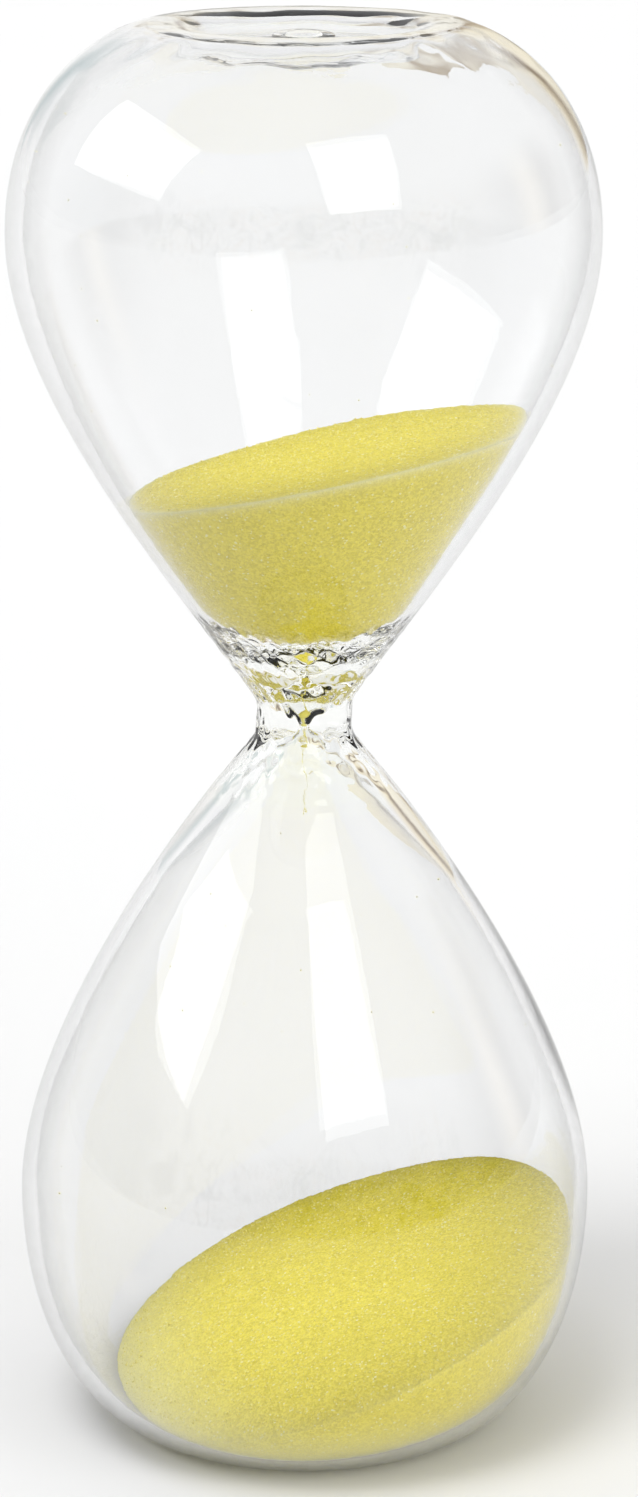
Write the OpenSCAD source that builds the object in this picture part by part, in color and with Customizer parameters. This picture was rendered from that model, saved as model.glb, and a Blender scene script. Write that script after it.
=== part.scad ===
// Frameless blown-glass sand timer: two teardrop bulbs joined at a thick waist, with loose sand inside.
// Origin: centre of the ring that the lower bulb stands on, +Z up. Units: millimetres.

/* [Glass] */
// Radius of both bulbs at their widest ring
bulb_r = 39.5; // [36:0.5:44]
// Distance from the waist's centre to the widest ring of either bulb
widest = 66.5; // [62:0.5:72]
// Thickness of the blown wall
wall = 1.9; // [1.5:0.1:2.4]
// Radius of the waist at its narrowest
waist_r = 6.6; // [6:0.1:8]
// Width of the flat ring that each end stands on
rest_w = 1.5; // [1:0.1:2]

/* [Upper bulb] */
// Height of the upper bulb above the waist's centre
upper_len = 94.5; // [92:0.5:98]
// Straight part of the waist above its centre
upper_waist = 3.3; // [2:0.1:4]
// How far the flare above the waist swings outwards
upper_flare_out = 9.7; // [8:0.1:11]
// How far that flare rises
upper_flare_rise = 14.3; // [13:0.1:16]
// Outer radius of the ring that the end stands on
upper_rim_r = 20.5; // [19:0.5:23]
// Roundness of the corner beside that ring
upper_rim_pull = 4; // [3:0.5:8]

/* [Lower bulb] */
// Depth of the lower bulb below the waist's centre
lower_len = 99.5; // [97:0.5:102]
// Straight part of the waist below its centre
lower_waist = 1.4; // [1:0.1:3]
// How far the flare below the waist swings outwards
lower_flare_out = 11.2; // [9:0.1:12]
// How far that flare drops
lower_flare_rise = 13.5; // [13:0.1:16]
// Outer radius of the ring that the end stands on
lower_rim_r = 22.5; // [20:0.5:24]
// Roundness of the corner beside that ring
lower_rim_pull = 7; // [4:0.5:8]

/* [Pushed-in ends] */
// Depth of the hollow in each end
dimple_depth = 2.6; // [1.5:0.1:3.5]
// Radius of the hollow's floor
dimple_r = 10.5; // [8:0.5:12]
// How far the hollow's floor bulges back at its centre
dimple_crown = 0.6; // [0.2:0.1:1]
// Radius of the filling hole in the upper end
fill_hole_r = 2.5; // [2:0.1:3.5]
// Radius of the fused button that closes it
seal_head_r = 4.2; // [3.8:0.1:5]

/* [Throat] */
// Radius of the two fine holes that set the flow
orifice_r = 0.5; // [0.4:0.05:0.7]
// Radius of the small cell between the holes
cell_r = 2.6; // [2:0.1:3]
// Height of the cell's widest ring above the waist's centre
cell_mid = 4.6; // [4:0.1:5]
// Height of the cell's roof
cell_top = 8.2; // [7.5:0.1:8.5]
// Height of the upper bulb's round floor
bowl_floor = 9.8; // [9.5:0.1:10.5]

/* [Sand] */
// Air gap between the sand and the glass
gap = 0.2; // [0.15:0.05:0.3]
// Height of the upper sand's surface on the axis, above the waist's centre
upper_level = 36.2; // [30:0.5:42]
// Lean of that surface, in degrees
upper_lean = 12.8; // [0:0.5:15]
// Direction in which it leans up, in degrees from +X towards +Y
upper_turn = -16; // [-180:1:180]
// Height of the heap's surface on the axis, above the surface that the glass stands on
lower_level = 15; // [13:0.5:16]
// Lean of that surface, in degrees
lower_lean = 21.2; // [0:0.2:22]
// Direction in which it leans up, in degrees from +X towards +Y
lower_turn = 9; // [-180:1:180]
// Length of the falling thread of grains
stream_len = 14; // [8:1:20]
// Radius of the falling thread of grains
stream_r = 0.35; // [0.25:0.05:0.4]

/* [Hidden] */
$fn = 96;

upper_seam = 12;    // height of the upper fused joint above the waist's centre
lower_seam = 10;    // depth of the lower fused joint below it
apex = 0.3;         // depth below the waist's centre at which the lower bulb's hollow starts
cell_floor = 0.4;   // height of the cell's lower end
side_pull = 20.8;   // length of the side's handle before the widest ring
shoulder_pull = 21; // length of the shoulder's handle after it
waist_fillet = 1.5; // length rounded off on each side of the waist's corner
orifice_gap = 0.1;  // gap round the grains in the fine holes and in the cell
pile_r = 1.05;      // radius of the grains lying in the cell
pile_rise = 0.9;    // height of their cone
seal_dome = 0.9;    // height of the button above the hollow's floor
seal_drop = 0.8;    // length of the button's rounded foot inside the bulb
far = 200;          // larger than the whole object

side_steps = 18;
end_steps = 12;
floor_steps = 10;
bend_steps = 6;

glass_colour = [0.86, 0.92, 0.93, 0.35];
sand_colour = [0.88, 0.82, 0.25];

// A bulb is described from the waist's centre towards its own end, which suits both of them.
// Its list: length, straight waist, flare out, flare rise, rim radius, rim roundness,
// start of its hollow, handle of the hollow's floor [out, up], straight run of that floor
// along the wall, share of the side's curve where floor meets wall, and depth of the fused joint.
LEN = 0;
WAIST = 1;
FLARE_OUT = 2;
FLARE_RISE = 3;
RIM_R = 4;
RIM_PULL = 5;
FLOOR = 6;
FLOOR_HANDLE = 7;
FLOOR_RUN = 8;
JOIN = 9;
SEAM = 10;
UPPER = [upper_len, upper_waist, upper_flare_out, upper_flare_rise, upper_rim_r, upper_rim_pull,
         bowl_floor, [3.4, 0.4], 8, 0.26, upper_seam];
LOWER = [lower_len, lower_waist, lower_flare_out, lower_flare_rise, lower_rim_r, lower_rim_pull,
         apex, [3, 5], 9, 0.36, lower_seam];

// Point, heading and inward offset of a cubic curve with control points p
function cubic(p, t) = pow(1 - t, 3) * p[0] + 3 * pow(1 - t, 2) * t * p[1]
    + 3 * (1 - t) * t * t * p[2] + pow(t, 3) * p[3];
function heading(p, t) = let (
    d = pow(1 - t, 2) * (p[1] - p[0]) + 2 * (1 - t) * t * (p[2] - p[1]) + t * t * (p[3] - p[2])
) d / norm(d);
function inset(p, t, depth) = let (d = heading(p, t)) cubic(p, t) - depth * [d[1], -d[0]];
function sampled(p, steps, first = 0) = [for (i = [first:steps]) cubic(p, i / steps)];

// Radius of a curve at height u, by halving
function radius_at(p, u, lo = 0, hi = 1, turns = 24) = let (mid = (lo + hi) / 2)
    turns == 0 ? cubic(p, mid)[0]
    : cubic(p, mid)[1] < u ? radius_at(p, u, mid, hi, turns - 1)
    : radius_at(p, u, lo, mid, turns - 1);
function cut_below(points, u) = [for (p = points) if (p[1] > u + 0.1) p];
function cut_above(points, u) = [for (p = points) if (p[1] < u - 0.1) p];
function backwards(list) = [for (i = [len(list) - 1:-1:0]) list[i]];
function flipped(list) = [for (p = list) [p[0], -p[1]]];
function dropped(list, by) = [for (p = list) p - [0, by]];

// Outer surface: side, shoulder and pushed-in end
function side(b) = [
    [waist_r, b[WAIST]],
    [waist_r + b[FLARE_OUT], b[WAIST] + b[FLARE_RISE]],
    [bulb_r, widest - side_pull],
    [bulb_r, widest]
];
function shoulder(b) = [
    [bulb_r, widest],
    [bulb_r, widest + shoulder_pull],
    [b[RIM_R] + b[RIM_PULL], b[LEN]],
    [b[RIM_R], b[LEN]]
];
function dimple(b) = let (edge = b[RIM_R] - rest_w, bend = (edge - dimple_r) / 2) [
    [edge, b[LEN]],
    [edge - bend, b[LEN]],
    [dimple_r + bend, b[LEN] - dimple_depth],
    [dimple_r, b[LEN] - dimple_depth]
];
function end_height(b) = b[LEN] - dimple_depth + dimple_crown;
function waist_corner(b) = let (
    corner = [waist_r, b[WAIST]],
    start = corner - [0, min(waist_fillet, b[WAIST])],
    finish = corner + waist_fillet * heading(side(b), 0)
) sampled([start, start + (corner - start) * 2 / 3, finish + (corner - finish) * 2 / 3, finish], bend_steps);

// Inner surface, under the outer one by the wall's thickness; extra is the gap round the sand
function floor_curve(b, extra = 0) = let (
    meet = inset(side(b), b[JOIN], wall + extra),
    start = [orifice_r, b[FLOOR] + extra]
) [start, start + b[FLOOR_HANDLE], meet - b[FLOOR_RUN] * heading(side(b), b[JOIN]), meet];
function inner_side(b, extra = 0) = [for (i = [1:side_steps])
    inset(side(b), b[JOIN] + (1 - b[JOIN]) * i / side_steps, wall + extra)];
function inner_end(b, extra = 0) = concat(
    [for (i = [1:end_steps]) inset(shoulder(b), i / end_steps, wall + extra)],
    dropped(sampled(dimple(b), bend_steps), wall + extra)
);

// Wall of one bulb, from its fused joint to its pushed-in end, with a hole at the end's centre
module bulb(b, hole_r) {
    outside = concat(
        [[radius_at(side(b), b[SEAM]), b[SEAM]]],
        cut_below(sampled(side(b), side_steps), b[SEAM]),
        sampled(shoulder(b), end_steps, 1),
        sampled(dimple(b), bend_steps),
        [[hole_r, end_height(b)]]
    );
    inside = concat(
        [[radius_at(floor_curve(b), b[SEAM]), b[SEAM]]],
        cut_below(sampled(floor_curve(b), floor_steps), b[SEAM]),
        inner_side(b),
        inner_end(b),
        [[hole_r, end_height(b) - wall]]
    );
    rotate_extrude() polygon(concat(outside, backwards(inside)));
}

// Everything under a plane that crosses the axis at a height and leans up in the direction of turn
module under_plane(height, lean, turn) {
    intersection() {
        children();
        translate([0, 0, height]) rotate([0, -lean, turn])
            translate([-far / 2, -far / 2, -far]) cube(far);
    }
}

module upper_bulb() {
    color(glass_colour) translate([0, 0, lower_len]) bulb(UPPER, fill_hole_r);
}

module lower_bulb() {
    color(glass_colour) translate([0, 0, lower_len]) mirror([0, 0, 1]) bulb(LOWER, 0);
}

// Thick fused waist: the foot of both bulbs, and the two fine holes with the cell between them
module throat() {
    outer_upper = concat(
        waist_corner(UPPER),
        cut_above(cut_below(sampled(side(UPPER), side_steps), upper_waist + waist_fillet), upper_seam),
        [[radius_at(side(UPPER), upper_seam), upper_seam]]
    );
    outer_lower = concat(
        waist_corner(LOWER),
        cut_above(cut_below(sampled(side(LOWER), side_steps), lower_waist + waist_fillet), lower_seam),
        [[radius_at(side(LOWER), lower_seam), lower_seam]]
    );
    bowl = concat(
        cut_above(sampled(floor_curve(UPPER), floor_steps), upper_seam),
        [[radius_at(floor_curve(UPPER), upper_seam), upper_seam]]
    );
    cone = concat(
        cut_above(sampled(floor_curve(LOWER), floor_steps), lower_seam),
        [[radius_at(floor_curve(LOWER), lower_seam), lower_seam]]
    );
    roof = sampled([[cell_r, cell_mid], [cell_r, cell_mid + 1.6], [orifice_r + 1.2, cell_top],
                    [orifice_r, cell_top]], bend_steps);
    color(glass_colour) translate([0, 0, lower_len]) rotate_extrude() polygon(concat(
        outer_upper,
        backwards(bowl),
        backwards(roof),
        [[orifice_r, cell_floor]],
        flipped(cone),
        backwards(flipped(outer_lower))
    ));
}

// Fused glass button in the filling hole: a low dome outside and a rounded foot inside
module fill_seal() {
    floor_u = end_height(UPPER);
    dome = [[seal_head_r, floor_u], [seal_head_r, floor_u + seal_dome],
            [seal_head_r / 2, floor_u + seal_dome], [0, floor_u + seal_dome]];
    foot = [[fill_hole_r, floor_u - wall], [fill_hole_r, floor_u - wall - seal_drop],
            [fill_hole_r / 2, floor_u - wall - seal_drop], [0, floor_u - wall - seal_drop]];
    color(glass_colour) translate([0, 0, lower_len]) rotate_extrude() polygon(concat(
        backwards(sampled(dome, bend_steps)),
        [[fill_hole_r, floor_u]],
        sampled(foot, bend_steps)
    ));
}

// Loose sand in the upper bulb, with its tip in the upper fine hole
module upper_sand() {
    rim_u = upper_level + bulb_r * tan(upper_lean);
    curve = floor_curve(UPPER, gap);
    tip_r = orifice_r - orifice_gap;
    color(sand_colour) translate([0, 0, lower_len]) under_plane(upper_level, upper_lean, upper_turn)
        rotate_extrude() polygon(concat(
            [[0, cell_top + 3 * gap], [tip_r, cell_top + 3 * gap], [tip_r, bowl_floor + gap]],
            sampled(curve, floor_steps, 1),
            cut_above(inner_side(UPPER, gap), rim_u),
            [[radius_at(side(UPPER), rim_u) - wall - 2 * gap, rim_u], [0, rim_u]]
        ));
}

// Grains lying in the cell, and the jet that falls on them from the upper hole
module throat_sand() {
    slope = (cell_r - orifice_r) / (cell_mid - cell_floor);
    hole_r = orifice_r - orifice_gap;
    pile_u = cell_floor + (pile_r - hole_r) / slope;
    color(sand_colour) translate([0, 0, lower_len]) rotate_extrude() polygon([
        [0, 0], [hole_r, 0], [hole_r, cell_floor], [pile_r, pile_u],
        [stream_r, pile_u + pile_rise], [stream_r, cell_top + gap], [0, cell_top + gap]
    ]);
}

// Thread of falling grains under the lower hole, a little thinner at its foot
module sand_stream() {
    color(sand_colour) translate([0, 0, lower_len - apex - stream_len])
        cylinder(h = stream_len, r1 = stream_r * 0.8, r2 = stream_r);
}

// Heap in the lower bulb. It lies below the widest ring, so it can lift a little.
module lower_sand() {
    rim_u = lower_len - lower_level - bulb_r * tan(lower_lean);
    side_below = cut_below(inner_end(LOWER, gap), rim_u);
    color(sand_colour) under_plane(lower_level, lower_lean, lower_turn)
        translate([0, 0, lower_len]) mirror([0, 0, 1]) rotate_extrude() polygon(concat(
            [[0, rim_u], [side_below[0][0], rim_u]],
            side_below,
            [[0, end_height(LOWER) - wall - gap]]
        ));
}

upper_bulb();
lower_bulb();
throat();
fill_seal();
upper_sand();
throat_sand();
sand_stream();
lower_sand();
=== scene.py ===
import math
from collections import namedtuple

import bpy
import numpy as np
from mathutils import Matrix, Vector


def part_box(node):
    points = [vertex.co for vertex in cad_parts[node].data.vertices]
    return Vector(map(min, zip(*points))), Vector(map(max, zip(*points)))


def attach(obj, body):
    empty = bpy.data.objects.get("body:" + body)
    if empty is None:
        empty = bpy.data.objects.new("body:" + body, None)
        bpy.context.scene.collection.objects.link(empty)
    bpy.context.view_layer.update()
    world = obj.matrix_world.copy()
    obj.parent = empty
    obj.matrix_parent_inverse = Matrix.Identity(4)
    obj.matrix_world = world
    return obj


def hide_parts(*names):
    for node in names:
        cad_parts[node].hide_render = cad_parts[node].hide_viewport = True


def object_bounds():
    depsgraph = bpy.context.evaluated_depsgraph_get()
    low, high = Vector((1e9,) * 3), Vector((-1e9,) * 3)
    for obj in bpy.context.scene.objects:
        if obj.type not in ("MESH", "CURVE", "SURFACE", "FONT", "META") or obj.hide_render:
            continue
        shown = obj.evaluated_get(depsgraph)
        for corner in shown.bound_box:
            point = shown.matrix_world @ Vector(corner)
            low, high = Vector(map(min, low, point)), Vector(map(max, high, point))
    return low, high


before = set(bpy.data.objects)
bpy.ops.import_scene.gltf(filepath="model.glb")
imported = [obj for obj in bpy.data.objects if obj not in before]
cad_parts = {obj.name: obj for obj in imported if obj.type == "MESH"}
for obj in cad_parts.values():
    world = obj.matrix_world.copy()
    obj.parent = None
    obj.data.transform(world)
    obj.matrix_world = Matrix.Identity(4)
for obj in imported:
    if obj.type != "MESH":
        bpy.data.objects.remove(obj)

MM = 0.001
SEED = 11
cad_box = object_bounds()


# ---------------------------------------------------------------- measures
# Places come from the frame; the rest repeats the model's driving dimensions.
FOOT_Z = cad_box[0].z
TOP_Z = cad_box[1].z
BULB_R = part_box("upper_bulb")[1].x
UPPER_SEAM = 12 * MM
LOWER_SEAM = 10 * MM
WAIST_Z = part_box("throat")[1].z - UPPER_SEAM
WIDEST = 66.5 * MM
WALL = 1.9 * MM
WAIST_R = 6.6 * MM
REST_W = 1.5 * MM
SIDE_PULL = 20.8 * MM
SHOULDER_PULL = 21 * MM
WAIST_FILLET = 1.5 * MM
DIMPLE_DEPTH = 2.6 * MM
DIMPLE_R = 10.5 * MM
DIMPLE_CROWN = 0.6 * MM
FILL_HOLE_R = 2.5 * MM
SEAL_HEAD_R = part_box("fill_seal")[1].x
SEAL_DOME = 0.9 * MM
SEAL_DROP = 0.8 * MM
ORIFICE_R = 0.5 * MM
CELL_R = 2.6 * MM
CELL_MID = 4.6 * MM
CELL_TOP = 8.2 * MM
CELL_FLOOR = 0.4 * MM
BOWL_FLOOR = 9.8 * MM
APEX = 0.3 * MM

Bulb = namedtuple("Bulb", "sign length waist flare_out flare_rise rim_r rim_pull floor handle run join seam")
UPPER = Bulb(1, TOP_Z - WAIST_Z, 3.3 * MM, 9.7 * MM, 14.3 * MM, 20.5 * MM, 4 * MM,
             BOWL_FLOOR, (3.4 * MM, 0.4 * MM), 8 * MM, 0.26, UPPER_SEAM)
LOWER = Bulb(-1, WAIST_Z - FOOT_Z, 1.4 * MM, 11.2 * MM, 13.5 * MM, 22.5 * MM, 7 * MM,
             APEX, (3 * MM, 5 * MM), 9 * MM, 0.36, LOWER_SEAM)

UPPER_LEVEL = 36.2 * MM
UPPER_LEAN = math.radians(12.8)
UPPER_TURN = math.radians(-16)
LOWER_LEVEL = 15 * MM
LOWER_LEAN = math.radians(21.2)
LOWER_TURN = math.radians(9)


# ---------------------------------------------------------------- curves
def cubic(p, t):
    """Points of a cubic curve with control points p at parameters t."""
    p, t = np.array(p, float), np.asarray(t, float)[:, None]
    return (1 - t) ** 3 * p[0] + 3 * (1 - t) ** 2 * t * p[1] + 3 * (1 - t) * t * t * p[2] + t ** 3 * p[3]


def heading(p, t):
    """Unit headings of the same curve."""
    p, t = np.array(p, float), np.asarray(t, float)[:, None]
    d = (1 - t) ** 2 * (p[1] - p[0]) + 2 * (1 - t) * t * (p[2] - p[1]) + t * t * (p[3] - p[2])
    return d / np.linalg.norm(d, axis=1)[:, None]


def inset(p, t, depth):
    """The curve moved inwards, square to itself."""
    d = heading(p, t)
    return cubic(p, t) - depth * np.stack([d[:, 1], -d[:, 0]], 1)


def side(b):
    return [(WAIST_R, b.waist), (WAIST_R + b.flare_out, b.waist + b.flare_rise),
            (BULB_R, WIDEST - SIDE_PULL), (BULB_R, WIDEST)]


def shoulder(b):
    return [(BULB_R, WIDEST), (BULB_R, WIDEST + SHOULDER_PULL), (b.rim_r + b.rim_pull, b.length),
            (b.rim_r, b.length)]


def dimple(b):
    edge = b.rim_r - REST_W
    bend = (edge - DIMPLE_R) / 2
    low = b.length - DIMPLE_DEPTH
    return [(edge, b.length), (edge - bend, b.length), (DIMPLE_R + bend, low), (DIMPLE_R, low)]


def end_height(b):
    return b.length - DIMPLE_DEPTH + DIMPLE_CROWN


def crown_line(b, drop, radius, steps=10):
    """The hollow's slightly bulging floor, from its bend to a radius."""
    r = np.linspace(DIMPLE_R, radius, steps + 1)[1:]
    rise = DIMPLE_CROWN * (1 - (r / DIMPLE_R) ** 2)
    return np.stack([r, b.length - DIMPLE_DEPTH + rise - drop], 1)


def floor_curve(b):
    join = np.array([b.join])
    meet = inset(side(b), join, WALL)[0]
    start = np.array([ORIFICE_R, b.floor])
    return [start, start + np.array(b.handle), meet - b.run * heading(side(b), join)[0], meet]


def waist_corner(b):
    corner = np.array([WAIST_R, b.waist])
    start = corner - (0, min(WAIST_FILLET, b.waist))
    finish = corner + WAIST_FILLET * heading(side(b), [0])[0]
    return [start, start + (corner - start) * 2 / 3, finish + (corner - finish) * 2 / 3, finish]


def share(first, last, steps):
    """Parameters after first, up to last."""
    return np.linspace(first, last, steps + 1)[1:]


def outer_half(b):
    """Outer surface from the waist's centre to the hollow's bend, as (radius, height from the waist)."""
    corner = cubic(waist_corner(b), share(0, 1, 10))
    flank = cubic(side(b), share(0, 1, 170))
    flank = flank[flank[:, 1] > corner[-1, 1] + 0.1 * MM]
    top = cubic(shoulder(b), share(0, 1, 80))
    return np.concatenate([corner, flank, top, cubic(dimple(b), share(0, 1, 26))])


def inner_half(b):
    """Inner surface from the fine hole to the hollow's bend."""
    return np.concatenate([
        cubic(floor_curve(b), np.linspace(0, 1, 71)),
        inset(side(b), share(b.join, 1, 110), WALL),
        inset(shoulder(b), share(0, 1, 70), WALL),
        cubic(dimple(b), share(0, 1, 26)) - (0, WALL),
    ])


def at_height(points, u):
    """The profile with a point added exactly at height u."""
    i = int(np.argmax(points[:, 1] > u))
    t = (u - points[i - 1, 1]) / (points[i, 1] - points[i - 1, 1])
    return np.insert(points, i, points[i - 1] + t * (points[i] - points[i - 1]), axis=0)


def placed(points, b):
    """Heights from the waist turned into heights in the frame."""
    return np.stack([points[:, 0], WAIST_Z + b.sign * points[:, 1]], 1)


# ---------------------------------------------------------------- hand-made unevenness
def swell(points, wavelength, seed, waves=9):
    """Smooth noise from about -1 to 1: plane waves in seeded directions."""
    draw = np.random.default_rng(SEED + seed)
    way = draw.normal(size=(waves, 3))
    way /= np.linalg.norm(way, axis=1)[:, None]
    way *= 2 * math.pi / (wavelength * draw.uniform(0.7, 1.4, (waves, 1)))
    return np.sin(points @ way.T + draw.uniform(0, 2 * math.pi, waves)).sum(1) / waves * 1.8


def near_waist(z, below=9 * MM, above=17 * MM):
    """1 at the waist, fading to 0 a little below and above it."""
    t = np.where(z < WAIST_Z, (WAIST_Z - z) / below, (z - WAIST_Z) / above)
    return np.clip(1 - t, 0, 1) ** 0.5


def near_top(z):
    """1 on the pushed-in end, fading to 0 just below it."""
    return np.clip((z - TOP_Z + 7 * MM) / (4 * MM), 0, 1)


def outer_sink(p):
    """How far the outer surface lies under its nominal shape."""
    slow = 0.10 * MM * (1 + swell(p, 46 * MM, 1)) / 2
    neck = 0.12 * MM * near_waist(p[:, 2]) * (1 + swell(p * (1, 1, 0.6), 1.9 * MM, 2))
    end = 0.05 * MM * near_top(p[:, 2]) * (1 + swell(p, 6 * MM, 5))
    return slow + neck + end


def inner_sink(p):
    """How far the inner surface lies from its nominal shape, into the glass."""
    slow = 0.22 * MM * swell(p, 38 * MM, 3)
    neck = 0.15 * MM * near_waist(p[:, 2]) * swell(p * (1, 1, 0.6), 2.3 * MM, 4)
    end = 0.08 * MM * near_top(p[:, 2]) * swell(p, 7 * MM, 6)
    return slow + neck + end


class Turned:
    """A profile turned about the axis. Its rows run from the top pole to the bottom pole."""

    def __init__(self, profile, out, sink):
        self.profile = profile
        along = np.gradient(profile, axis=0)
        square = np.stack([-along[:, 1], along[:, 0]], 1) * out
        self.normal = square / np.maximum(np.linalg.norm(square, axis=1), 1e-12)[:, None]
        self.sink = sink
        self.out = out

    def points(self, s, angle, lift=0.0):
        """Points at fractional rows s and angles, lifted off the glass by lift."""
        i = np.arange(len(self.profile))
        r, z = np.interp(s, i, self.profile[:, 0]), np.interp(s, i, self.profile[:, 1])
        nr, nz = np.interp(s, i, self.normal[:, 0]), np.interp(s, i, self.normal[:, 1])
        p = np.stack([r * np.cos(angle), r * np.sin(angle), z], 1)
        n = np.stack([nr * np.cos(angle), nr * np.sin(angle), nz], 1)
        calm = np.clip(r / (1.5 * MM), 0, 1)
        return p + n * (lift - self.sink(p) * calm)[:, None]


def outer_profile():
    dome = [(SEAL_HEAD_R, end_height(UPPER)), (SEAL_HEAD_R, end_height(UPPER) + SEAL_DOME),
            (SEAL_HEAD_R / 2, end_height(UPPER) + SEAL_DOME), (0, end_height(UPPER) + SEAL_DOME)]
    upper = np.concatenate([at_height(outer_half(UPPER), UPPER.seam), crown_line(UPPER, 0, SEAL_HEAD_R),
                            cubic(dome, share(0, 1, 20))])
    lower = np.concatenate([at_height(outer_half(LOWER), LOWER.seam), crown_line(LOWER, 0, 0)])
    waist = placed(np.array([[WAIST_R, 0]]), UPPER)
    return np.concatenate([placed(upper, UPPER)[::-1], waist, placed(lower, LOWER)])


def inner_profile():
    low = end_height(UPPER) - WALL
    foot = [(FILL_HOLE_R, low), (FILL_HOLE_R, low - SEAL_DROP), (FILL_HOLE_R / 2, low - SEAL_DROP),
            (0, low - SEAL_DROP)]
    upper = np.concatenate([at_height(inner_half(UPPER), UPPER.seam), crown_line(UPPER, WALL, FILL_HOLE_R),
                            cubic(foot, share(0, 1, 16))])
    lower = np.concatenate([at_height(inner_half(LOWER), LOWER.seam), crown_line(LOWER, WALL, 0)])
    roof = cubic([(CELL_R, CELL_MID), (CELL_R, CELL_MID + 1.6 * MM), (ORIFICE_R + 1.2 * MM, CELL_TOP),
                  (ORIFICE_R, CELL_TOP)], np.linspace(1, 0, 25))
    funnel = np.stack([np.linspace(CELL_R, ORIFICE_R, 22)[1:], np.linspace(CELL_MID, CELL_FLOOR, 22)[1:]], 1)
    cell = placed(np.concatenate([roof, funnel]), UPPER)
    return np.concatenate([placed(upper, UPPER)[::-1], cell, placed(lower, LOWER)])


OUTER = Turned(outer_profile(), 1, outer_sink)
INNER = Turned(inner_profile(), -1, inner_sink)


def row_at(surface, z, radius=None):
    """The row nearest to a height, among rows near a radius if one is given."""
    gap = np.abs(surface.profile[:, 1] - z)
    if radius is not None:
        gap = gap + np.abs(surface.profile[:, 0] - radius)
    return int(np.argmin(gap))


# ---------------------------------------------------------------- meshes
GLASS_TURNS = 256


def grid_faces(rows, turns, first, flip):
    """Quads between neighbouring rings of a turned grid."""
    i, j = np.meshgrid(np.arange(rows - 1), np.arange(turns), indexing="ij")
    a = first + i * turns + j
    b = first + i * turns + (j + 1) % turns
    quads = np.stack([a, a + turns, b + turns, b], -1).reshape(-1, 4)
    return quads[:, ::-1] if flip else quads


def fan_faces(pole, ring, turns, flip):
    """Triangles from a pole to the ring that starts at index ring."""
    j = np.arange(turns)
    fan = np.stack([np.full(turns, pole), ring + j, ring + (j + 1) % turns], 1)
    return fan[:, ::-1] if flip else fan


def turned_patch(surface, first_row, last_row, turns=GLASS_TURNS):
    """Vertices and faces of one surface between two rows. A row of no radius becomes a pole."""
    radius = surface.profile[:, 0]
    top_pole, low_pole = radius[first_row] < 1e-9, radius[last_row] < 1e-9
    rows = np.arange(first_row + top_pole, last_row + 1 - low_pole)
    angle = np.arange(turns) * 2 * math.pi / turns
    points = surface.points(np.repeat(rows, turns).astype(float), np.tile(angle, len(rows)))
    flip = surface.out < 0
    faces = [tuple(q) for q in grid_faces(len(rows), turns, 0, flip).tolist()]
    for is_pole, row, ring, turned in ((top_pole, first_row, 0, flip),
                                       (low_pole, last_row, (len(rows) - 1) * turns, not flip)):
        if is_pole:
            faces += [tuple(f) for f in fan_faces(len(points), ring, turns, turned).tolist()]
            points = np.concatenate([points, surface.points(np.array([float(row)]), np.array([0.0]))])
    return points, faces


def mesh_piece(name, patches, materials, smooth=True):
    """One object from several (points, faces) patches."""
    points, faces = [], []
    for p, f in patches:
        start = sum(len(q) for q in points)
        faces += [tuple(start + i for i in face) for face in f]
        points.append(p)
    mesh = bpy.data.meshes.new(name)
    mesh.from_pydata(np.concatenate(points).tolist(), [], faces)
    mesh.update()
    for m in materials:
        mesh.materials.append(m)
    if smooth:
        mesh.polygons.foreach_set("use_smooth", [True] * len(mesh.polygons))
    piece = bpy.data.objects.new(name, mesh)
    bpy.context.scene.collection.objects.link(piece)
    return piece


def vertex_values(piece, name, values):
    """A number on every vertex, for the material to read."""
    attribute = piece.data.attributes.new(name, "FLOAT", "POINT")
    attribute.data.foreach_set("value", np.asarray(values, np.float32))


def finish_piece(piece, body, slot, *nodes):
    """Puts a piece on its body and hides the CAD nodes that it stands for. The slot is not used."""
    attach(piece, body)
    if nodes:
        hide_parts(*nodes)


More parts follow.
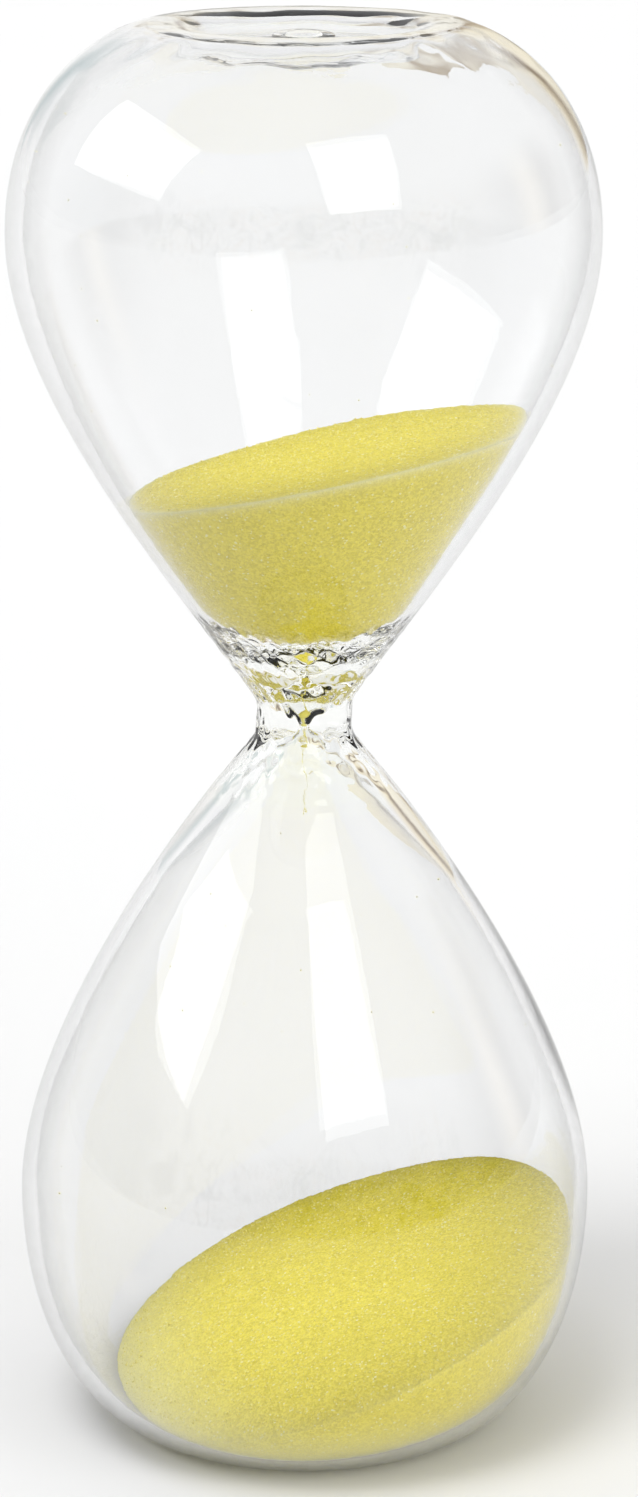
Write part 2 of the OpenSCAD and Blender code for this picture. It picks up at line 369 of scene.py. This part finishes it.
# ---------------------------------------------------------------- material helpers
class Tree:
    """Short ways to add and join the nodes of a material or of the world."""

    def __init__(self, owner, output):
        self.owner = owner
        owner.use_nodes = True
        self.nodes = owner.node_tree.nodes
        self.links = owner.node_tree.links
        self.nodes.clear()
        self.output = self.add(output)

    def add(self, kind, **settings):
        node = self.nodes.new(kind)
        for key, value in settings.items():
            setattr(node, key, value)
        return node

    def feed(self, node, socket, source):
        """Joins a socket to another socket, or gives it a constant."""
        if isinstance(source, bpy.types.NodeSocket):
            self.links.new(source, node.inputs[socket])
        else:
            node.inputs[socket].default_value = source

    def math(self, operation, a, b=0.0):
        node = self.add("ShaderNodeMath", operation=operation)
        self.feed(node, 0, a)
        self.feed(node, 1, b)
        return node.outputs[0]

    def noise(self, scale, detail=3.0, roughness=0.55, vector=None):
        node = self.add("ShaderNodeTexNoise")
        self.feed(node, "Scale", scale)
        self.feed(node, "Detail", detail)
        self.feed(node, "Roughness", roughness)
        self.feed(node, "Vector", vector or self.place())
        return node.outputs["Fac"]

    def cells(self, scale, output="Distance"):
        node = self.add("ShaderNodeTexVoronoi")
        self.feed(node, "Scale", scale)
        self.feed(node, "Vector", self.place())
        return node.outputs[output]

    def place(self):
        """Position in the object's own space, which moves with it."""
        return self.add("ShaderNodeTexCoord").outputs["Object"]

    def span(self, value, low, high, to_low=0.0, to_high=1.0):
        node = self.add("ShaderNodeMapRange", interpolation_type="SMOOTHSTEP")
        for socket, source in zip(("Value", "From Min", "From Max", "To Min", "To Max"),
                                  (value, low, high, to_low, to_high)):
            self.feed(node, socket, source)
        return node.outputs[0]

    def blend(self, factor, a, b):
        node = self.add("ShaderNodeMix", data_type="RGBA")
        self.feed(node, 0, factor)
        self.feed(node, 6, a)
        self.feed(node, 7, b)
        return node.outputs[2]

    def bump(self, height, strength, distance):
        node = self.add("ShaderNodeBump")
        self.feed(node, "Height", height)
        self.feed(node, "Strength", strength)
        self.feed(node, "Distance", distance)
        return node.outputs[0]

    def ramp(self, value, stops):
        node = self.add("ShaderNodeValToRGB")
        elements = node.color_ramp.elements
        while len(elements) < len(stops):
            elements.new(0.5)
        for element, (at, colour) in zip(elements, stops):
            element.position = at
            element.color = (*colour, 1)
        self.feed(node, 0, value)
        return node.outputs[0]

    def facing(self, blend):
        """0 where the surface faces the ray, 1 where the ray grazes it."""
        node = self.add("ShaderNodeLayerWeight")
        self.feed(node, "Blend", blend)
        return node.outputs["Facing"]

    def painted_edge_calm(self):
        """Share of the glass's painted edge shade: 1 on the bulbs' sides, less at the two pushed-in ends,
        whose curve is seen at a low angle.
        """
        split = self.add("ShaderNodeSeparateXYZ")
        self.feed(split, 0, self.place())
        upper = self.span(split.outputs[2], TOP_Z - 12 * MM, TOP_Z - 4 * MM, 1.0, 0.35)
        lower = self.span(split.outputs[2], FOOT_Z + 1 * MM, FOOT_Z + 14 * MM, 0.15, 1.0)
        return self.math("MINIMUM", upper, lower)


def material_tree(name):
    return Tree(bpy.data.materials.new(name), "ShaderNodeOutputMaterial")


# ---------------------------------------------------------------- glass
GLASS_IOR = 1.47
# How much of the painted dark edge colour (painted shade) the glass takes, by how far it turns away from the
# view.
PAINTED_EDGE_SHARE = [(0.58, 0.0), (0.70, 0.22), (0.80, 0.40), (0.88, 0.60), (0.94, 0.88), (1.0, 1.0)]


def glass_material(name, pale, deep, edge, shade):
    """Clear blown glass: a faint uneven tint, darkened by painted shade where the view grazes the wall, and
    fine waves.

    Lamps and soft light pass through a stand-in, which is darker at grazing angles, where real glass turns
    light away.
    """
    tree = material_tree(name)
    drift = tree.noise(28.0, 2.0)
    cords = tree.noise(420.0, 3.0)
    film = tree.noise(140.0, 4.0)
    tint = tree.blend(tree.span(drift, 0.3, 0.7), (*pale, 1), (*deep, 1))
    glass = tree.add("ShaderNodeBsdfPrincipled")
    # Painted shade: the colour turns towards the dark edge colour where the view grazes the wall, less at the
    # pushed-in ends.
    turned = tree.ramp(tree.facing(0.5), [(at, (value,) * 3) for at, value in PAINTED_EDGE_SHARE])
    painted_edge_part = tree.math("MULTIPLY", turned, tree.painted_edge_calm())
    tree.feed(glass, "Base Color", tree.blend(painted_edge_part, tint, (*edge, 1)))
    tree.feed(glass, "Roughness", tree.span(film, 0.35, 0.75, 0.0, 0.012))
    tree.feed(glass, "IOR", GLASS_IOR)
    tree.feed(glass, "Transmission Weight", 1.0)
    tree.feed(glass, "Normal", tree.bump(cords, 0.05, 0.1 * MM))
    clear = tree.add("ShaderNodeBsdfTransparent")
    tree.feed(clear, "Color", tree.blend(tree.facing(0.2), (0.965, 0.965, 0.97, 1), (*shade, 1)))
    path = tree.add("ShaderNodeLightPath")
    passed = tree.math("MAXIMUM", path.outputs["Is Shadow Ray"], path.outputs["Is Diffuse Ray"])
    mix = tree.add("ShaderNodeMixShader")
    tree.feed(mix, 0, passed)
    tree.feed(mix, 1, glass.outputs[0])
    tree.feed(mix, 2, clear.outputs[0])
    tree.feed(tree.output, "Surface", mix.outputs[0])
    return tree.owner


def make_glass():
    """The four pieces of glass. Neighbours share the ring of points where they are fused."""
    # Each glass's third colour is its painted dark edge shade; the fourth is the shade that lamps and soft
    # light pass through.
    bulb_glass = glass_material("blown_glass", (0.968, 0.971, 0.974), (0.955, 0.958, 0.958),
                                (0.03, 0.03, 0.028), (0.07, 0.07, 0.068))
    throat_glass = glass_material("throat_glass", (0.985, 0.992, 0.978), (0.965, 0.98, 0.955),
                                  (0.10, 0.07, 0.03), (0.4, 0.41, 0.38))
    seal_glass = glass_material("seal_glass", (0.975, 0.98, 0.978), (0.96, 0.97, 0.965), (0.4, 0.41, 0.4),
                                (0.4, 0.4, 0.39))
    out_end, in_end = len(OUTER.profile) - 1, len(INNER.profile) - 1
    cap_out = row_at(OUTER, WAIST_Z + end_height(UPPER), SEAL_HEAD_R)
    cap_in = row_at(INNER, WAIST_Z + end_height(UPPER) - WALL, FILL_HOLE_R)
    high_out, high_in = row_at(OUTER, WAIST_Z + UPPER_SEAM), row_at(INNER, WAIST_Z + UPPER_SEAM)
    low_out, low_in = row_at(OUTER, WAIST_Z - LOWER_SEAM), row_at(INNER, WAIST_Z - LOWER_SEAM)
    for name, node, slot, material, outs, ins in (
            ("seal_button", "fill_seal", "glass_seal", seal_glass, (0, cap_out), (0, cap_in)),
            ("upper_bulb_glass", "upper_bulb", "glass_bulbs", bulb_glass,
             (cap_out, high_out), (cap_in, high_in)),
            ("throat_glass", "throat", "glass_throat", throat_glass, (high_out, low_out), (high_in, low_in)),
            ("lower_bulb_glass", "lower_bulb", "glass_bulbs", bulb_glass,
             (low_out, out_end), (low_in, in_end))):
        piece = mesh_piece(name, [turned_patch(OUTER, *outs), turned_patch(INNER, *ins)], [material])
        finish_piece(piece, "glass", slot, node)


# ---------------------------------------------------------------- sand
SAND_TURNS = 300
SAND_GAP = 0.06 * MM
GRAIN_SCALE = 3900.0
MOTTLE_SCALE = 1500.0
LOOSE_SHADE_SCALE = 1500.0
DARK_SHARE = 0.62
FOOT_HIGHLIGHT_FADE = 12 * MM
BUMP_DEPTH = 0.25 * MM


def sand_colour(tree, deep, mid):
    """Uneven yellow of grains, clumps and drifts. Also gives a number for each grain, and the clumps."""
    pick = tree.add("ShaderNodeSeparateColor")
    tree.feed(pick, 0, tree.cells(GRAIN_SCALE, "Color"))
    clumps = tree.noise(260.0, 4.0, 0.7)
    drifts = tree.noise(34.0, 3.0)
    body = tree.blend(tree.span(pick.outputs[0], 0.0, 1.0), (*deep, 1), (*mid, 1))
    body = tree.blend(tree.span(clumps, 0.45, 0.75, 0.0, 0.5), body, (*mid, 1))
    body = tree.blend(tree.span(drifts, 0.35, 0.7, 0.0, 0.3), body, (*deep, 1))
    dark = tuple(DARK_SHARE * value for value in deep)
    mottle = tree.noise(MOTTLE_SCALE, 2.0, 0.6)
    body = tree.blend(tree.span(mottle, 0.50, 0.66, 0.0, 0.2), body, (*dark, 1))
    return body, pick.outputs[1], clumps


def sand_material(name, deep, mid, rim_highlight_strength, highlight_foot_z):
    """Fine dyed sand, with a few grains painted pale as glints.

    It is painted paler along its rim and towards its foot, as highlights, and smoother where it lies on the
    glass.
    """
    tree = material_tree(name)
    body, chance, clumps = sand_colour(tree, deep, mid)
    rim = tree.add("ShaderNodeAttribute", attribute_name="rim")
    touch = tree.add("ShaderNodeAttribute", attribute_name="touch")
    # Painted highlight: paler along the rim of the free surface.
    body = tree.blend(tree.math("MULTIPLY", rim.outputs["Fac"], rim_highlight_strength), body, (0.97, 0.92, 0.45, 1))
    # Painted highlight: the sand is paler towards its foot, as if lit more there.
    split = tree.add("ShaderNodeSeparateXYZ")
    tree.feed(split, 0, tree.place())
    foot = tree.span(split.outputs[2], highlight_foot_z, highlight_foot_z + FOOT_HIGHLIGHT_FADE, 0.85, 0.0)
    body = tree.blend(foot, body, (1.0, 0.96, 0.42, 1))
    # Painted glints: a few grains get a pale colour, and are also smoother.
    painted_glint = tree.span(chance, 0.96, 0.99)
    sand = tree.add("ShaderNodeBsdfPrincipled")
    tree.feed(sand, "Base Color", tree.blend(painted_glint, body, (0.98, 0.93, 0.42, 1)))
    tree.feed(sand, "Roughness", tree.span(painted_glint, 0.0, 1.0, 0.85, 0.35))
    tree.feed(sand, "Specular IOR Level", 0.3)
    grains = tree.math("MULTIPLY", tree.cells(GRAIN_SCALE), 0.6)
    height = tree.math("ADD", grains, tree.math("MULTIPLY", clumps, 0.8))
    strength = tree.span(touch.outputs["Fac"], 0.0, 1.0, 0.95, 0.6)
    tree.feed(sand, "Normal", tree.bump(height, strength, BUMP_DEPTH))
    tree.feed(tree.output, "Surface", sand.outputs[0])
    return tree.owner


def grain_material(name):
    """Single loose grains: rounded glassy quartz with a yellow dye, each grain its own shade."""
    tree = material_tree(name)
    pick = tree.add("ShaderNodeSeparateColor")
    tree.feed(pick, 0, tree.cells(LOOSE_SHADE_SCALE, "Color"))
    body = tree.blend(pick.outputs[0], (0.78, 0.67, 0.05, 1), (0.96, 0.90, 0.33, 1))
    grain = tree.add("ShaderNodeBsdfPrincipled")
    tree.feed(grain, "Base Color", tree.blend(tree.noise(3000.0), body, (0.88, 0.79, 0.16, 1)))
    tree.feed(grain, "Roughness", tree.span(pick.outputs[1], 0.3, 1.0, 0.7, 0.2))
    tree.feed(grain, "Normal", tree.bump(tree.noise(9000.0), 0.4, 0.03 * MM))
    tree.feed(tree.output, "Surface", grain.outputs[0])
    return tree.owner


Plane = namedtuple("Plane", "level lean turn")
UPPER_PLANE = Plane(WAIST_Z + UPPER_LEVEL, UPPER_LEAN, UPPER_TURN)
LOWER_PLANE = Plane(FOOT_Z + LOWER_LEVEL, LOWER_LEAN, LOWER_TURN)


def plane_height(p, plane):
    """Height of a leaning plane over the points p."""
    along = p[:, 0] * math.cos(plane.turn) + p[:, 1] * math.sin(plane.turn)
    return plane.level + along * math.tan(plane.lean)


def rim_rows(rows, angles, plane, roll):
    """For each angle, the fractional inner row where the glass meets the plane, roll lower in front."""
    p = INNER.points(np.repeat(rows.astype(float), len(angles)), np.tile(angles, len(rows)), SAND_GAP)
    over = (p[:, 2] - plane_height(p, plane)).reshape(len(rows), len(angles)) + roll * front_share(angles)
    i = np.argmax((over[:-1] > 0) != (over[1:] > 0), 0)
    j = np.arange(len(angles))
    return rows[0] + i + over[i, j] / (over[i, j] - over[i + 1, j])


def front_share(angles):
    """1 at the front of the mass, fading to 0 at its back."""
    return ((1 - np.sin(angles)) / 2) ** 1.5


def free_rings(rim, plane, crown, relief, seed, count=110):
    """Rings of the free surface from its middle to the rim: a leaning plane with a low crown and fine relief.

    Where the rim lies under the plane, the surface rolls down to it.
    """
    middle = rim[:, :2].mean(0)
    roll = plane_height(rim, plane) - rim[:, 2]
    rings = []
    for k in range(count - 1, 0, -1):
        reach = 1 - (k / count) ** 1.15
        p = np.zeros((len(rim), 3))
        p[:, :2] = middle + (rim[:, :2] - middle) * reach
        rough = relief * (swell(p, 2.1 * MM, seed) + 2.2 * swell(p, 9 * MM, seed + 1)) * min(1.0, k / 6)
        p[:, 2] = plane_height(p, plane) + crown * (1 - reach ** 2) - roll * reach ** 7 + rough
        rings.append(p)
    return rings


def held_rings(rows, rim_s, angles, count, tip):
    """Rings on the glass from the rim to the far end, then rings of (radius, height) in the fine hole."""
    rings = []
    for k in range(count + 1):
        s = rim_s + (rows[-1] - rim_s) * k / count
        rings.append(INNER.points(s, angles, SAND_GAP + 0.08 * MM * max(0.0, 1 - k / 2)))
    for radius, z in tip:
        rings.append(np.stack([radius * np.cos(angles), radius * np.sin(angles), np.full(len(angles), z)], 1))
    return rings


def ring_solid(rings, flip):
    """Vertices and faces of a closed solid from rings, with a pole at each end."""
    turns = len(rings[0])
    points = np.concatenate([*rings, rings[0].mean(0)[None], rings[-1].mean(0)[None]])
    inner, outer = turns * len(rings), turns * len(rings) + 1
    faces = grid_faces(len(rings), turns, 0, flip).tolist()
    faces += fan_faces(inner, 0, turns, flip).tolist()
    faces += fan_faces(outer, turns * (len(rings) - 1), turns, not flip).tolist()
    return points, faces


def sand_mass(name, rows, plane, crown, roll, relief, count, seed, material, flip, tip=()):
    """Closed mass of loose sand. Each vertex holds its nearness to the rim, for the painted rim highlight,
    and its touch on the glass.
    """
    angles = np.arange(SAND_TURNS) * 2 * math.pi / SAND_TURNS
    held = held_rings(rows, rim_rows(rows, angles, plane, roll), angles, count, tip)
    free = free_rings(held[0], plane, crown, relief, seed)
    rings = free + held
    piece = mesh_piece(name, [ring_solid(rings, flip)], [material])
    away = np.array([np.linalg.norm(r - held[0], axis=1).mean() for r in rings])
    touch = np.concatenate([np.zeros(len(free)), np.clip(np.arange(len(held)) / 3, 0, 1)])
    ring_of = np.concatenate([np.repeat(np.arange(len(rings)), SAND_TURNS), [0, len(rings) - 1]])
    # Nearness to the rim, which the sand material paints as a highlight.
    vertex_values(piece, "rim", np.exp(-away / (0.7 * MM))[ring_of])
    vertex_values(piece, "touch", touch[ring_of])
    return piece, free, held


# ---------------------------------------------------------------- loose grains
def icosahedron():
    g = (1 + math.sqrt(5)) / 2
    points = [(-1, g, 0), (1, g, 0), (-1, -g, 0), (1, -g, 0), (0, -1, g), (0, 1, g),
              (0, -1, -g), (0, 1, -g), (g, 0, -1), (g, 0, 1), (-g, 0, -1), (-g, 0, 1)]
    faces = [(0, 11, 5), (0, 5, 1), (0, 1, 7), (0, 7, 10), (0, 10, 11), (1, 5, 9), (5, 11, 4), (11, 10, 2),
             (10, 7, 6), (7, 1, 8), (3, 9, 4), (3, 4, 2), (3, 2, 6), (3, 6, 8), (3, 8, 9), (4, 9, 5),
             (2, 4, 11), (6, 2, 10), (8, 6, 7), (9, 8, 1)]
    return np.array(points, float) / math.hypot(1, g), np.array(faces)


def grain_cloud(centres, small, large, seed):
    """One mesh of many small lumpy grains, each stretched and turned its own way."""
    draw = np.random.default_rng(SEED + seed)
    shape, faces = icosahedron()
    count = len(centres)
    size = draw.uniform(small, large, (count, 1, 1)) * draw.uniform(0.75, 1.2, (count, 1, 3))
    lumps = shape[None] * size * draw.uniform(0.85, 1.15, (count, len(shape), 1))
    turn = np.linalg.qr(draw.normal(size=(count, 3, 3)))[0]
    turn *= np.sign(np.linalg.det(turn))[:, None, None]
    points = np.einsum("nij,nkj->nki", turn, lumps) + centres[:, None]
    all_faces = faces[None] + (np.arange(count) * len(shape))[:, None, None]
    return points.reshape(-1, 3), all_faces.reshape(-1, 3).tolist()


def scattered(rings, count, lift, seed):
    """Points at random places on a stack of rings, a little above them."""
    draw = np.random.default_rng(SEED + seed)
    stack = np.stack(rings)
    reach = np.linalg.norm(stack - stack[0].mean(0), axis=2).mean(1)
    chance = reach / reach.sum()
    ring = draw.choice(len(rings), count, p=chance)
    spot = draw.integers(0, stack.shape[1], count)
    points = stack[ring, spot] + draw.normal(0, 0.12 * MM, (count, 3)) * (1, 1, 0)
    points[:, 2] += lift
    return points


def grain_piece(name, centres, small, large, seed, material, body, *nodes):
    piece = mesh_piece(name, [grain_cloud(centres, small, large, seed)], [material])
    finish_piece(piece, body, "sand", *nodes)


UPPER_LOOSE = 1600
LOWER_LOOSE = 2600
CLINGING_ABOVE = 26
CLINGING_BELOW = 22
JET_GRAINS = 150
STREAM_GRAINS = 230
LOOSE_LIFT = 0.05 * MM
CLING_LIFT = 0.09 * MM


def make_upper_sand(grains):
    # Strong painted rim highlight; the painted foot highlight starts at the foot, far below this sand.
    material = sand_material("upper_sand_grains", (0.75, 0.625, 0.03), (0.96, 0.835, 0.09), 0.9, FOOT_Z)
    hole_z = WAIST_Z + BOWL_FLOOR
    rows = np.arange(row_at(INNER, WAIST_Z + WIDEST), row_at(INNER, hole_z, ORIFICE_R) + 1)
    tip = [(ORIFICE_R - 0.1 * MM, hole_z - k * 0.2 * MM) for k in range(1, 6)]
    piece, free, _ = sand_mass("upper_sand_mass", rows, UPPER_PLANE, 0.5 * MM, 0, 0.05 * MM, 130, 20,
                               material, True, tip)
    finish_piece(piece, "upper_grains", "sand", "upper_sand")
    spots = scattered(free[:-4], UPPER_LOOSE, LOOSE_LIFT, 40)
    grain_piece("upper_sand_loose_grains", spots, 0.09 * MM, 0.17 * MM, 41, grains, "upper_grains")


def make_lower_sand(grains):
    # Faint painted rim highlight; painted foot highlight from just over the foot.
    material = sand_material("lower_sand_grains", (0.76, 0.635, 0.03), (0.97, 0.845, 0.09), 0.15,
                             FOOT_Z + 1 * MM)
    rows = np.arange(row_at(INNER, WAIST_Z - 0.8 * WIDEST, BULB_R), len(INNER.profile) - 1)
    piece, free, _ = sand_mass("lower_sand_heap", rows, LOWER_PLANE, 2.0 * MM, 2.4 * MM, 0.06 * MM, 150, 30,
                               material, True)
    finish_piece(piece, "lower_grains", "sand", "lower_sand")
    spots = scattered(free[:-4], LOWER_LOOSE, LOOSE_LIFT, 50)
    grain_piece("lower_sand_loose_grains", spots, 0.09 * MM, 0.19 * MM, 51, grains, "lower_grains")


def make_throat_sand(grains):
    """The little cone of grains in the cell, and the jet that falls on it."""
    low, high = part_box("throat_sand")
    pile_r = high.x
    slope = (CELL_R - ORIFICE_R) / (CELL_MID - CELL_FLOOR)
    pile_z = WAIST_Z + CELL_FLOOR + (pile_r - 0.4 * MM) / slope
    turns = 48
    angles = np.arange(turns) * 2 * math.pi / turns
    rings = []
    for r, z in ((0.2 * MM, low.z), (0.4 * MM, low.z + 0.02 * MM), (0.4 * MM, WAIST_Z + CELL_FLOOR),
                 (0.62 * MM, (WAIST_Z + CELL_FLOOR + pile_z) / 2), (pile_r * 0.94, pile_z - 0.1 * MM),
                 (pile_r * 0.95, pile_z), (pile_r * 0.7, pile_z + 0.28 * MM), (0.35 * MM, pile_z + 0.62 * MM),
                 (0.12 * MM, pile_z + 0.82 * MM)):
        p = np.stack([r * np.cos(angles), r * np.sin(angles), np.full(turns, z)], 1)
        rings.append(p + p * (1, 1, 0) * 0.06 * swell(p, 0.5 * MM, 60)[:, None])
    draw = np.random.default_rng(SEED + 61)
    z = draw.uniform(pile_z + 0.7 * MM, high.z - 0.15 * MM, JET_GRAINS)
    jet = np.stack([draw.normal(0, 0.1 * MM, JET_GRAINS), draw.normal(0, 0.1 * MM, JET_GRAINS), z], 1)
    piece = mesh_piece("throat_sand_grains", [ring_solid(rings, False),
                                              grain_cloud(jet, 0.07 * MM, 0.12 * MM, 62)], [grains])
    finish_piece(piece, "glass", "sand", "throat_sand")


def make_stream(grains):
    """Falling grains: a close thread under the hole that thins out into single grains."""
    low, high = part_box("sand_stream")
    draw = np.random.default_rng(SEED + 70)
    drop = draw.beta(1.0, 1.7, STREAM_GRAINS)
    spread = 0.08 * MM + 0.12 * MM * drop
    points = np.stack([draw.normal(0, 1, STREAM_GRAINS) * spread, draw.normal(0, 1, STREAM_GRAINS) * spread,
                       high.z - 0.12 * MM - drop * (high.z - low.z - 0.3 * MM)], 1)
    points[:, :2] = np.clip(points[:, :2], -0.26 * MM, 0.26 * MM)
    grain_piece("falling_sand_grains", points, 0.05 * MM, 0.09 * MM, 71, grains, "falling_grains",
                "sand_stream")


def make_clinging_grains(grains):
    """A few grains that stick to the inside of the glass above the sand."""
    draw = np.random.default_rng(SEED + 80)
    spots = []
    for z_low, z_high, count in ((UPPER_PLANE.level + 2 * MM, WAIST_Z + WIDEST * 1.25, CLINGING_ABOVE),
                                 (WAIST_Z - WIDEST, WAIST_Z - 14 * MM, CLINGING_BELOW)):
        rows = np.array([row_at(INNER, z) for z in draw.uniform(z_low, z_high, count)], float)
        spots.append(INNER.points(rows, draw.uniform(0, 2 * math.pi, count), CLING_LIFT))
    grain_piece("clinging_grains", np.concatenate(spots), 0.07 * MM, 0.12 * MM, 81, grains, "glass")


def make_sand():
    grains = grain_material("loose_grains")
    make_upper_sand(grains)
    make_lower_sand(grains)
    make_throat_sand(grains)
    make_stream(grains)
    make_clinging_grains(grains)


# ---------------------------------------------------------------- stage, light and camera
FLOOR_HALF = 9.0


def make_stage():
    """A plain pale floor."""
    tree = material_tree("pale_floor")
    plain = tree.add("ShaderNodeBsdfPrincipled")
    mottle = tree.noise(2.5, 2.0)
    tree.feed(plain, "Base Color", tree.blend(mottle, (0.725, 0.725, 0.723, 1), (0.737, 0.737, 0.735, 1)))
    tree.feed(plain, "Roughness", 0.9)
    tree.feed(plain, "Specular IOR Level", 0.1)
    tree.feed(tree.output, "Surface", plain.outputs[0])
    ways = ((-1, -1), (1, -1), (1, 1), (-1, 1))
    corners = np.array([(x * FLOOR_HALF, y * FLOOR_HALF, FOOT_Z) for x, y in ways])
    floor = mesh_piece("floor", [(corners, [(0, 1, 2, 3)])], [tree.owner], smooth=False)


# Colours round the horizon, by turn: 0.25 is the left, 0.5 is behind the object, 0.75 is the right.
SIDES = [(0.20, (0.10, 0.11, 0.12)), (0.25, (0.42, 0.45, 0.47)), (0.31, (0.8, 0.81, 0.83)), (0.37, (1, 1, 1)),
         (0.43, (1, 1, 1)), (0.445, (0.60, 0.67, 0.68)), (0.458, (0.74, 0.78, 0.78)), (0.468, (1, 1, 1)),
         (0.49, (1, 1, 0.99)), (0.505, (0.97, 0.93, 0.80)), (0.513, (0.30, 0.20, 0.10)),
         (0.521, (0.95, 0.88, 0.70)), (0.55, (0.97, 0.90, 0.74)), (0.560, (0.16, 0.10, 0.06)),
         (0.570, (0.90, 0.80, 0.60)), (0.59, (1, 1, 1)), (0.64, (1, 1, 1)),
         (0.69, (0.08, 0.045, 0.02)), (0.72, (0.9, 0.74, 0.48)), (0.75, (0.07, 0.045, 0.03)),
         (0.79, (0.42, 0.41, 0.39))]
# Patches of the room behind the camera.
ROOM = [(0.33, (0.05, 0.045, 0.04)), (0.37, (0.62, 0.62, 0.61)), (0.445, (0.66, 0.66, 0.65)),
        (0.46, (0.10, 0.08, 0.05)), (0.475, (0.70, 0.69, 0.66)), (0.525, (0.70, 0.69, 0.66)),
        (0.54, (0.45, 0.28, 0.10)), (0.555, (0.72, 0.68, 0.60)), (0.595, (0.66, 0.66, 0.64)),
        (0.61, (0.06, 0.06, 0.04)), (0.63, (0.24, 0.27, 0.12)), (0.65, (0.62, 0.63, 0.58)),
        (0.69, (0.05, 0.05, 0.04))]
CEILING = (0.88, 0.885, 0.895, 1)
WINDOW_DISTANCE = 1.2
# Part of the surround's brightness that lights the floor and the sand.
SOFT_SHARE = 0.88


def make_world():
    """White surround and bright ceiling. The darker sides and room in front draw the glass's edges."""
    world = bpy.data.worlds.new("studio")
    bpy.context.scene.world = world
    tree = Tree(world, "ShaderNodeOutputWorld")
    way = tree.add("ShaderNodeTexCoord").outputs["Generated"]
    split = tree.add("ShaderNodeSeparateXYZ")
    tree.feed(split, 0, way)
    x, y, z = split.outputs
    turn = tree.math("ADD", tree.math("DIVIDE", tree.math("ARCTAN2", x, y), 2 * math.pi), 0.5)
    room = tree.ramp(tree.noise(3.2, 3.0, vector=way), ROOM)
    colour = tree.blend(tree.span(y, -0.15, -0.5), tree.ramp(turn, SIDES), room)
    background = tree.add("ShaderNodeBackground")
    tree.feed(background, "Color", tree.blend(tree.span(z, 0.22, 0.50), colour, CEILING))
    soft = tree.add("ShaderNodeLightPath").outputs["Is Diffuse Ray"]
    tree.feed(background, "Strength", tree.span(soft, 0.0, 1.0, 1.0, SOFT_SHARE))
    tree.feed(tree.output, "Surface", background.outputs[0])


def add_sun(name, towards, strength, spread):
    lamp = bpy.data.lights.new(name, "SUN")
    lamp.energy = strength
    lamp.angle = math.radians(spread)
    holder = bpy.data.objects.new(name, lamp)
    holder.rotation_euler = Vector(towards).to_track_quat("-Z", "Y").to_euler()
    holder.visible_glossy = False
    holder.visible_transmission = False
    bpy.context.scene.collection.objects.link(holder)


def add_window(name, turn, rise, width, height, brightness):
    """A bright window, aimed at the upper bulb. It only shows in the glass.

    turn is its angle to the right of the camera's side and rise its angle over the horizon, in degrees.
    """
    lamp = bpy.data.lights.new(name, "AREA")
    lamp.shape = "RECTANGLE"
    lamp.size = width
    lamp.size_y = height
    lamp.energy = brightness * width * height * math.pi
    holder = bpy.data.objects.new(name, lamp)
    aim = Vector((0, 0, WAIST_Z + WIDEST))
    turn, rise = math.radians(turn), math.radians(rise)
    way = Vector((math.sin(turn) * math.cos(rise), -math.cos(turn) * math.cos(rise), math.sin(rise)))
    holder.location = aim + way * WINDOW_DISTANCE
    holder.rotation_euler = (-way).to_track_quat("-Z", "Y").to_euler()
    holder.visible_diffuse = False
    holder.visible_camera = False
    bpy.context.scene.collection.objects.link(holder)


def make_light():
    make_world()
    add_sun("overhead", (0.26, 0.32, -0.95), 1.42, 24)
    add_sun("right_fill", (-0.60, 0.74, -0.31), 1.9, 60)
    add_sun("left_fill", (0.60, 0.70, -0.40), 0.2, 60)
    add_window("left_window", -82, 33, 1.05, 0.62, 2.2)
    add_window("front_window", 24, 36, 0.62, 0.80, 1.9)


EYE_DISTANCE = 3.0928 * (TOP_Z - FOOT_Z)
EYE_HEIGHT = 258.1 * MM
EYE_RIGHT = 2.0 * MM
LOOK_DOWN = 15.14
LENS_LENGTH = 109.9


def make_camera():
    """Eye above the top, looking down at the waist, with the object a little left of the middle."""
    lens = bpy.data.cameras.new("camera")
    lens.lens = LENS_LENGTH
    lens.sensor_width = 36
    lens.clip_start = 0.01
    lens.clip_end = 50
    eye = bpy.data.objects.new("camera", lens)
    eye.location = (EYE_RIGHT, -EYE_DISTANCE, FOOT_Z + EYE_HEIGHT)
    eye.rotation_euler = (math.radians(90 - LOOK_DOWN), 0, 0)
    bpy.context.scene.collection.objects.link(eye)
    bpy.context.scene.camera = eye


make_camera()
make_glass()
make_sand()
make_stage()
make_light()
scene = bpy.context.scene
scene.view_settings.view_transform = "Standard"
scene.cycles.max_bounces = 32
scene.cycles.transmission_bounces = 32
scene.cycles.glossy_bounces = 16
scene.cycles.transparent_max_bounces = 32
